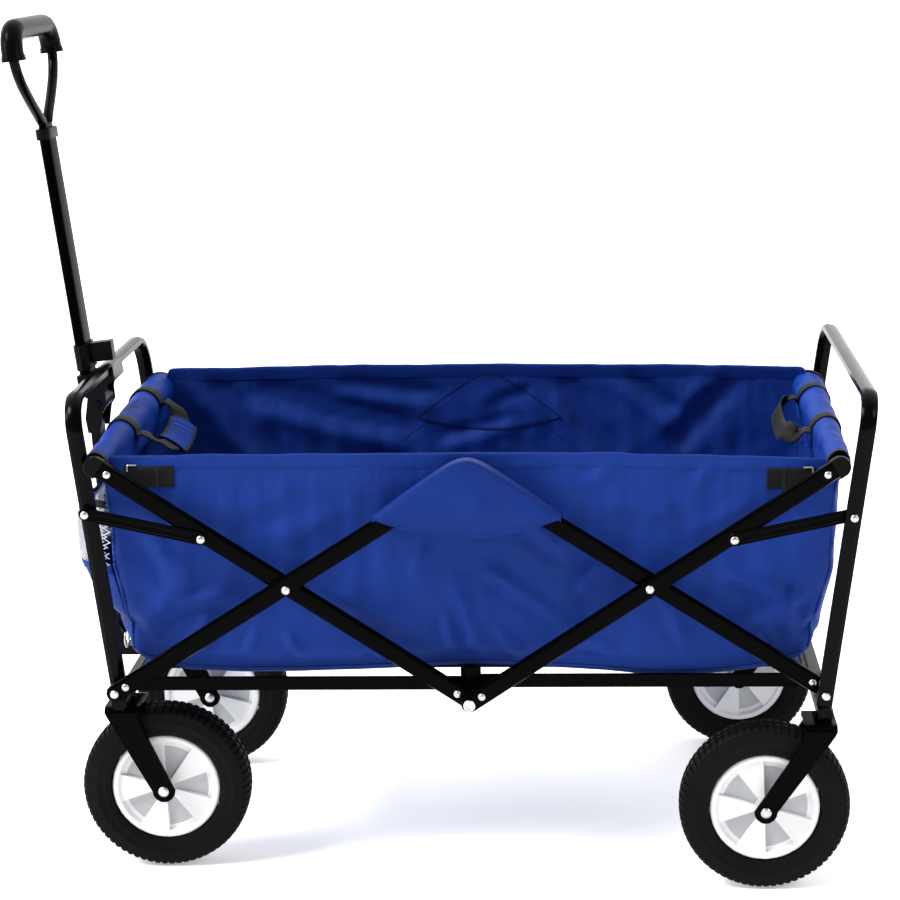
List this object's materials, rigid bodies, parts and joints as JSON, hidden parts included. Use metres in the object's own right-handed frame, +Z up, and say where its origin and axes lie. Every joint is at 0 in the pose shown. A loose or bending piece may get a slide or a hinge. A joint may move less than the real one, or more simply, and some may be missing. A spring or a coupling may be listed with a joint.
{
  "type": "folding utility wagon",
  "caption": "Collapsible pull wagon: scissor-folding steel frame, fabric tub, swivelling front wheels, fixed rear wheels and a telescopic tilting handle.",
  "frame": {"origin": "on the floor, at the bottom centre of the whole bounding box, handle included", "axes": "+X to the rear, -X towards the pull handle, +Y to the far side, +Z up"},
  "size_m": [1.0056, 0.5596, 0.9996],
  "materials": {
    "coat": "glossy black powder coat",
    "rivet": "zinc plated",
    "plastic": "satin black moulding",
    "grip": "glossy black moulding",
    "tyre": "block tread",
    "rim": "pale grey moulding",
    "cloth": "woven blue polyester"
  },
  "bodies": {
    "hub": {"bottom_cross_tube": "coat"},
    "top_hub": {"basket_walls": "cloth"},
    "arm_a_front": {"top_cross_tube_front": "coat", "long_bar_front_near": "coat", "long_bar_front_far": "coat"},
    "front_frame": {"hoop_front": "coat", "lower_beam_front": "coat", "corner_bolt_front_near": "rivet", "corner_bolt_front_far": "rivet", "centre_post": "coat", "hinge_bracket": "coat"},
    "rail_front": {"basket_floor_front": "cloth", "floor_rail_front_near": "coat", "floor_rail_front_far": "coat"},
    "arm_b_front": {"short_bar_front_near": "coat", "cross_rivet_front_near": "rivet", "short_bar_front_far": "coat", "cross_rivet_front_far": "rivet"},
    "stay_front": {"stay_front_near": "coat", "stay_front_far": "coat"},
    "wheel_front_near": {"tyre_front_near": "tyre", "rim_front_near": "rim"},
    "caster_near": {"fork_front_near": "coat", "axle_front_near": "rivet"},
    "wheel_front_far": {"tyre_front_far": "tyre", "rim_front_far": "rim"},
    "caster_far": {"fork_front_far": "coat", "axle_front_far": "rivet"},
    "arm_a_rear": {"top_cross_tube_rear": "coat", "long_bar_rear_near": "coat", "long_bar_rear_far": "coat"},
    "rear_frame": {"hoop_rear": "coat", "lower_beam_rear": "coat", "corner_bolt_rear_near": "rivet", "fork_rear_near": "coat", "axle_rear_near": "rivet", "corner_bolt_rear_far": "rivet", "fork_rear_far": "coat", "axle_rear_far": "rivet"},
    "rail_rear": {"basket_floor_rear": "cloth", "floor_rail_rear_near": "coat", "floor_rail_rear_far": "coat"},
    "arm_b_rear": {"short_bar_rear_near": "coat", "cross_rivet_rear_near": "rivet", "short_bar_rear_far": "coat", "cross_rivet_rear_far": "rivet"},
    "stay_rear": {"stay_rear_near": "coat", "stay_rear_far": "coat"},
    "wheel_rear_near": {"tyre_rear_near": "tyre", "rim_rear_near": "rim"},
    "wheel_rear_far": {"tyre_rear_far": "tyre", "rim_rear_far": "rim"},
    "handle": {"handle_socket": "plastic", "outer_stem": "coat", "stem_cap": "plastic"},
    "lock_collar": {"lock_collar": "plastic"},
    "handle_slide": {"inner_stem": "coat", "handle_fork_near": "coat", "handle_fork_far": "coat", "grip": "grip"}
  },
  "joints": [
    {"name": "fold", "type": "hinge", "parent": "hub", "child": "arm_a_front", "pos_m": [0.036, 0, 0.2205], "axis": [0, 1, 0], "range_deg": [0, 45], "deforming": ["basket_walls", "basket_floor_front", "basket_floor_rear"]},
    {"name": "fold_rear", "type": "hinge", "parent": "hub", "child": "arm_a_rear", "pos_m": [0.036, 0, 0.2205], "axis": [0, 1, 0], "range_deg": [-45, 0]},
    {"name": "cross_front", "type": "hinge", "parent": "arm_a_front", "child": "arm_b_front", "pos_m": [-0.173, 0, 0.359], "axis": [0, 1, 0], "range_deg": [-90, 0]},
    {"name": "corner_front", "type": "hinge", "parent": "arm_b_front", "child": "front_frame", "pos_m": [-0.3755, 0, 0.2345], "axis": [0, 1, 0], "range_deg": [0, 45]},
    {"name": "stay_hinge_front", "type": "hinge", "parent": "front_frame", "child": "stay_front", "pos_m": [-0.4009, 0, 0.44749], "axis": [0, 1, 0], "range_deg": [-77.8, 0]},
    {"name": "rail_hinge_front", "type": "hinge", "parent": "front_frame", "child": "rail_front", "pos_m": [-0.3755, 0, 0.2345], "axis": [0, 1, 0], "range_deg": [-74.6, 0]},
    {"name": "cross_rear", "type": "hinge", "parent": "arm_a_rear", "child": "arm_b_rear", "pos_m": [0.245, 0, 0.359], "axis": [0, 1, 0], "range_deg": [0, 90]},
    {"name": "corner_rear", "type": "hinge", "parent": "arm_b_rear", "child": "rear_frame", "pos_m": [0.4475, 0, 0.2345], "axis": [0, 1, 0], "range_deg": [-45, 0]},
    {"name": "stay_hinge_rear", "type": "hinge", "parent": "rear_frame", "child": "stay_rear", "pos_m": [0.4755, 0, 0.44716], "axis": [0, 1, 0], "range_deg": [0, 77.8]},
    {"name": "rail_hinge_rear", "type": "hinge", "parent": "rear_frame", "child": "rail_rear", "pos_m": [0.4475, 0, 0.2345], "axis": [0, 1, 0], "range_deg": [0, 74.6]},
    {"name": "apex", "type": "hinge", "parent": "arm_b_front", "child": "top_hub", "pos_m": [0.036, 0, 0.4975], "axis": [0, 1, 0], "range_deg": [0, 45]},
    {"name": "handle_tilt", "type": "hinge", "parent": "front_frame", "child": "handle", "pos_m": [-0.424, 0, 0.5345], "axis": [0, -1, 0], "range_deg": [0, 90]},
    {"name": "handle_extend", "type": "slide", "parent": "handle", "child": "handle_slide", "axis": [-0.1184, 0, 0.993], "range_m": [0, 0.18]},
    {"name": "lock_release", "type": "slide", "parent": "handle", "child": "lock_collar", "axis": [-0.1184, 0, 0.993], "range_m": [0, 0.025]},
    {"name": "swivel_near", "type": "hinge", "parent": "front_frame", "child": "caster_near", "pos_m": [-0.3755, -0.172, 0.2045], "axis": [0, 0, 1], "continuous": true},
    {"name": "swivel_far", "type": "hinge", "parent": "front_frame", "child": "caster_far", "pos_m": [-0.3755, 0.172, 0.2045], "axis": [0, 0, 1], "continuous": true},
    {"name": "spin_front_near", "type": "hinge", "parent": "caster_near", "child": "wheel_front_near", "pos_m": [-0.331, -0.172, 0.1], "axis": [0, 1, 0], "continuous": true},
    {"name": "spin_front_far", "type": "hinge", "parent": "caster_far", "child": "wheel_front_far", "pos_m": [-0.331, 0.172, 0.1], "axis": [0, 1, 0], "continuous": true},
    {"name": "spin_rear_near", "type": "hinge", "parent": "rear_frame", "child": "wheel_rear_near", "pos_m": [0.379, -0.244, 0.1], "axis": [0, 1, 0], "continuous": true},
    {"name": "spin_rear_far", "type": "hinge", "parent": "rear_frame", "child": "wheel_rear_far", "pos_m": [0.379, 0.244, 0.1], "axis": [0, 1, 0], "continuous": true}
  ],
  "couplings": [
    {"joint": "fold_rear", "follows": "fold", "ratio": -1},
    {"joint": "cross_front", "follows": "fold", "ratio": -2},
    {"joint": "corner_front", "follows": "fold", "ratio": 1},
    {"joint": "stay_hinge_front", "follows": "fold", "ratio": -1.7289},
    {"joint": "rail_hinge_front", "follows": "fold", "ratio": -1.6577},
    {"joint": "cross_rear", "follows": "fold", "ratio": 2},
    {"joint": "corner_rear", "follows": "fold", "ratio": -1},
    {"joint": "stay_hinge_rear", "follows": "fold", "ratio": 1.7289},
    {"joint": "rail_hinge_rear", "follows": "fold", "ratio": 1.6577},
    {"joint": "apex", "follows": "fold", "ratio": 1}
  ]
}
